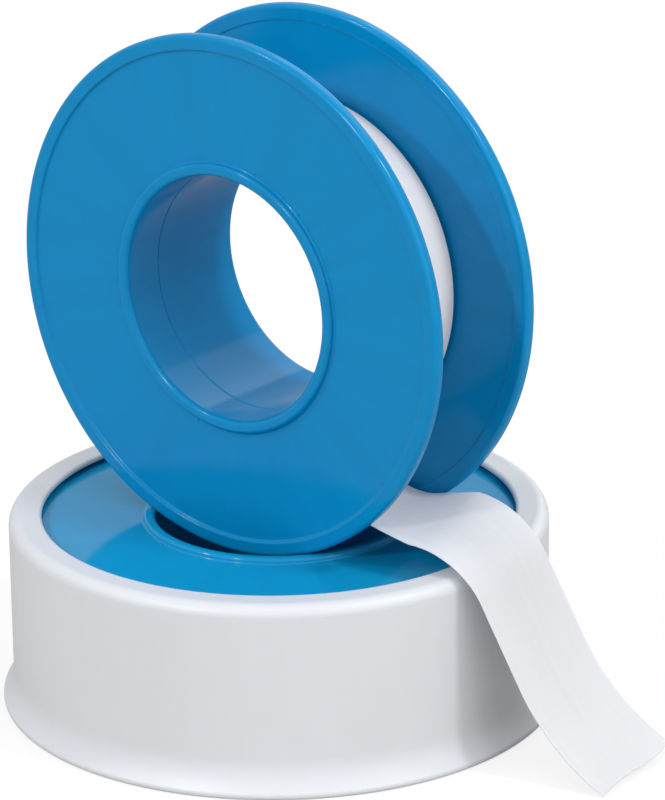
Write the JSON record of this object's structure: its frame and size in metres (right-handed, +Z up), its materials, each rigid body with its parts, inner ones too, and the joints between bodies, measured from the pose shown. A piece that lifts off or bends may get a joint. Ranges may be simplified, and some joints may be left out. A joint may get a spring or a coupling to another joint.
{
  "type": "thread seal tape rolls",
  "caption": "Flanged spool of thread seal tape standing on edge in the bore of a cased roll, with its loose tape end hanging over the case to the floor.",
  "frame": {"origin": "centre of the case's foot, on the surface the pair stands on", "axes": "+Z up along the case's axis; the open roll's axis runs along Y, its front flange at -Y and its rear flange at +Y; its tape leaves towards +X"},
  "size_m": [0.0682, 0.0546, 0.0677],
  "materials": {
    "case_white_plastic": "smooth satin white, faintly translucent moulded plastic",
    "cased_upper_blue_plastic": "satin-gloss blue moulded plastic",
    "cased_lower_blue_plastic": "satin-gloss blue moulded plastic",
    "cased_tape": "thin soft white thread seal film, wound smooth",
    "open_front_blue_plastic": "satin-gloss blue moulded plastic",
    "open_rear_blue_plastic": "satin-gloss blue moulded plastic",
    "open_tape": "thin soft white thread seal film, wound smooth",
    "tail_tape": "thin soft white thread seal film, hanging free"
  },
  "bodies": {
    "cased_spool": {"cased_spool_upper_half": "cased_upper_blue_plastic", "cased_spool_lower_half": "cased_lower_blue_plastic", "cased_tape_winding": "cased_tape"},
    "case": {"case_shell": "case_white_plastic"},
    "tape_end": {"tape_tail": "tail_tape"},
    "open_spool": {"open_spool_front_half": "open_front_blue_plastic", "open_spool_rear_half": "open_rear_blue_plastic", "open_tape_winding": "open_tape"}
  },
  "joints": [
    {"name": "case_lift", "type": "slide", "parent": "cased_spool", "child": "case", "axis": [0, 0, 1], "range_m": [0, 0.022]},
    {"name": "open_roll_lift", "type": "slide", "parent": "case", "child": "tape_end", "axis": [0, 0, 1], "range_m": [0, 0.045]},
    {"name": "open_spool_spin", "type": "hinge", "parent": "tape_end", "child": "open_spool", "pos_m": [0, 0, 0.04221], "axis": [0, 1, 0], "continuous": true}
  ]
}
